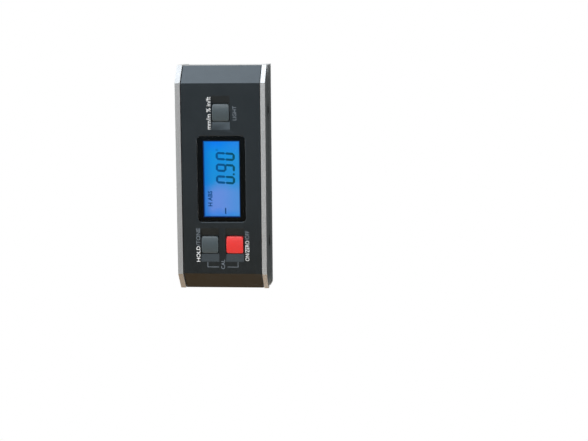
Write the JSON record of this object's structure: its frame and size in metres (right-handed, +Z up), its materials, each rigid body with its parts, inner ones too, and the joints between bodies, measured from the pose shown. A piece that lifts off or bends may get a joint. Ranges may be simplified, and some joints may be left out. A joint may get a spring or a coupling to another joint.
{
  "type": "digital level",
  "caption": "Compact digital level: chamfered aluminium frame with a magnetic grooved base, black panel with backlit display and scooped keys, and a hinged rear battery door.",
  "frame": {"origin": "centre of the base, on the plane that the two base lips stand on", "axes": "+X along the level to the right of the display, +Z up from the base, -Y out of the front panel"},
  "size_m": [0.108, 0.028, 0.043],
  "materials": {
    "frame_aluminium": "bead-blasted satin",
    "magnet_nickel": "dark plated",
    "panel_black": "fine spark texture",
    "window_clear": "polished clear with a black border",
    "display_blue": "blue backlit liquid crystal",
    "light_guide": "milky",
    "holder_white": "moulded",
    "connector_rubber": "matt",
    "board_green": "solder mask",
    "chip_black": "moulded",
    "key_grey": "satin",
    "key_red": "satin",
    "cover_black": "fine spark texture",
    "cell_jacket": "glossy plastic sleeve",
    "contact_steel": "nickel plated",
    "screw_black": "black oxide"
  },
  "bodies": {
    "housing": {"frame": "frame_aluminium", "left_magnet": "magnet_nickel", "right_magnet": "magnet_nickel", "front_panel": "panel_black", "window_lens": "window_clear", "lcd_glass": "display_blue", "backlight": "light_guide", "backlight_led": "light_guide", "lcd_holder": "holder_white", "rubber_connector": "connector_rubber", "circuit_board": "board_green", "microcontroller": "chip_black", "tilt_sensor": "chip_black", "crystal": "contact_steel", "buzzer": "chip_black", "hold_switch": "chip_black", "power_switch": "chip_black", "light_switch": "chip_black", "rear_cover": "cover_black", "lower_cell": "cell_jacket", "upper_cell": "cell_jacket", "lower_spring": "contact_steel", "upper_spring": "contact_steel", "left_contacts": "contact_steel", "bridge_contact": "contact_steel", "case_screws": "screw_black", "board_screws": "contact_steel"},
    "hold_button": {"hold_key": "key_grey", "hold_plunger": "chip_black"},
    "power_button": {"power_key": "key_red", "power_plunger": "chip_black"},
    "light_button": {"light_key": "key_grey", "light_plunger": "chip_black"},
    "door": {"battery_door": "cover_black"}
  },
  "joints": [
    {"name": "hold_press", "type": "slide", "parent": "housing", "child": "hold_button", "axis": [0, 1, 0], "range_m": [0, 0.0006], "stiffness_N_per_m": 1500, "springref_m": -0.0006},
    {"name": "power_press", "type": "slide", "parent": "housing", "child": "power_button", "axis": [0, 1, 0], "range_m": [0, 0.0006], "stiffness_N_per_m": 1500, "springref_m": -0.0006},
    {"name": "light_press", "type": "slide", "parent": "housing", "child": "light_button", "axis": [0, 1, 0], "range_m": [0, 0.0006], "stiffness_N_per_m": 1500, "springref_m": -0.0006},
    {"name": "door_swing", "type": "hinge", "parent": "housing", "child": "door", "pos_m": [-0.0259, 0.0127, 0.02135], "axis": [0, 0, 1], "range_deg": [0, 90]}
  ]
}
